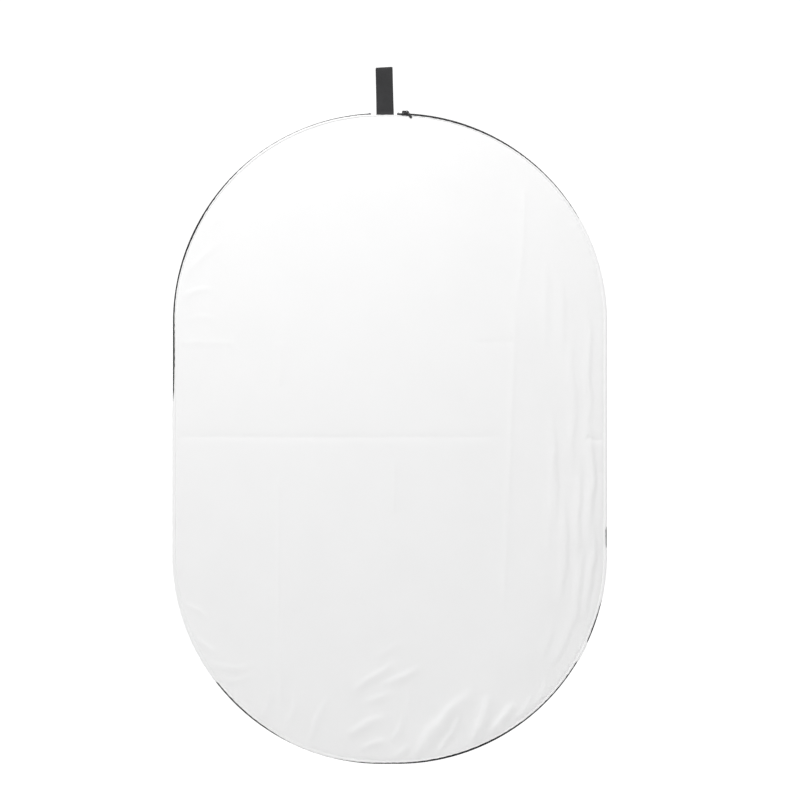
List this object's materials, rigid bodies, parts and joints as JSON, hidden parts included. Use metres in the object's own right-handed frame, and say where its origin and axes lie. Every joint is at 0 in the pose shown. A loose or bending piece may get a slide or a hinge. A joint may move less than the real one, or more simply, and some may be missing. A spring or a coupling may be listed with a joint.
{
  "type": "collapsible reflector disc",
  "caption": "Oval fold-up light reflector: fabric cover zipped over a spring-steel hoop with a diffuser inside, and a webbing hanging loop.",
  "frame": {"origin": "centre of the cover's back face", "axes": "+Z along the disc's length towards the hanging strap, +Y out of the back face, +X to the right as seen from the front"},
  "size_m": [0.8, 0.0152, 1.286],
  "materials": {
    "white_fabric": "matt tight plain weave",
    "black_fabric": "matt coated weave",
    "silver_fabric": "metallised weave",
    "gold_fabric": "metallised weave",
    "zip_tape": "woven tape",
    "zip_coil": "moulded coil",
    "spring_steel": "rolled strip",
    "crimp_steel": "pressed",
    "binding_tape": "folded tape",
    "diffuser_fabric": "translucent weave",
    "webbing": "ribbed webbing",
    "zip_metal": "stamped",
    "slider_metal": "lacquered die casting",
    "rail_wire": "drawn wire"
  },
  "bodies": {
    "disc": {"cover_front_face": "white_fabric", "cover_front_lining": "black_fabric", "cover_back_lining": "silver_fabric", "cover_back_face": "gold_fabric", "zip_tape_front": "zip_tape", "zip_coil_front": "zip_coil", "slot_hem_front": "white_fabric", "zip_tape_back": "zip_tape", "zip_coil_back": "zip_coil", "slot_hem_back": "gold_fabric", "spring_steel_hoop": "spring_steel", "hoop_splice_sleeve": "crimp_steel", "frame_binding": "binding_tape", "diffuser_panel": "diffuser_fabric", "strap_tails": "webbing", "zip_top_stop_front": "zip_metal", "zip_top_stop_back": "zip_metal", "zip_bottom_stop": "zip_metal"},
    "strap": {"strap_loop": "webbing"},
    "slider": {"slider_body": "slider_metal", "slider_rail": "rail_wire"},
    "link": {"pull_link": "rail_wire"},
    "tab": {"pull_tab": "slider_metal"}
  },
  "joints": [
    {"name": "strap_fold", "type": "hinge", "parent": "disc", "child": "strap", "pos_m": [-0.008, -0.006, 0.612], "axis": [1, 0, 0], "range_deg": [-135, 135], "stiffness_Nm_per_rad": 0.02},
    {"name": "slider_travel", "type": "hinge", "parent": "disc", "child": "slider", "pos_m": [0.015, -0.006, 0.215], "axis": [0, 1, 0], "range_deg": [0, 86]},
    {"name": "link_swing", "type": "hinge", "parent": "slider", "child": "link", "pos_m": [0.03166, -0.006, 0.60374], "axis": [-0.9992, 0, 0.0403], "range_deg": [0, 190]},
    {"name": "tab_swing", "type": "hinge", "parent": "link", "child": "tab", "pos_m": [0.03164, -0.01337, 0.6031], "axis": [-0.9992, 0, 0.0403], "range_deg": [0, 170]}
  ]
}
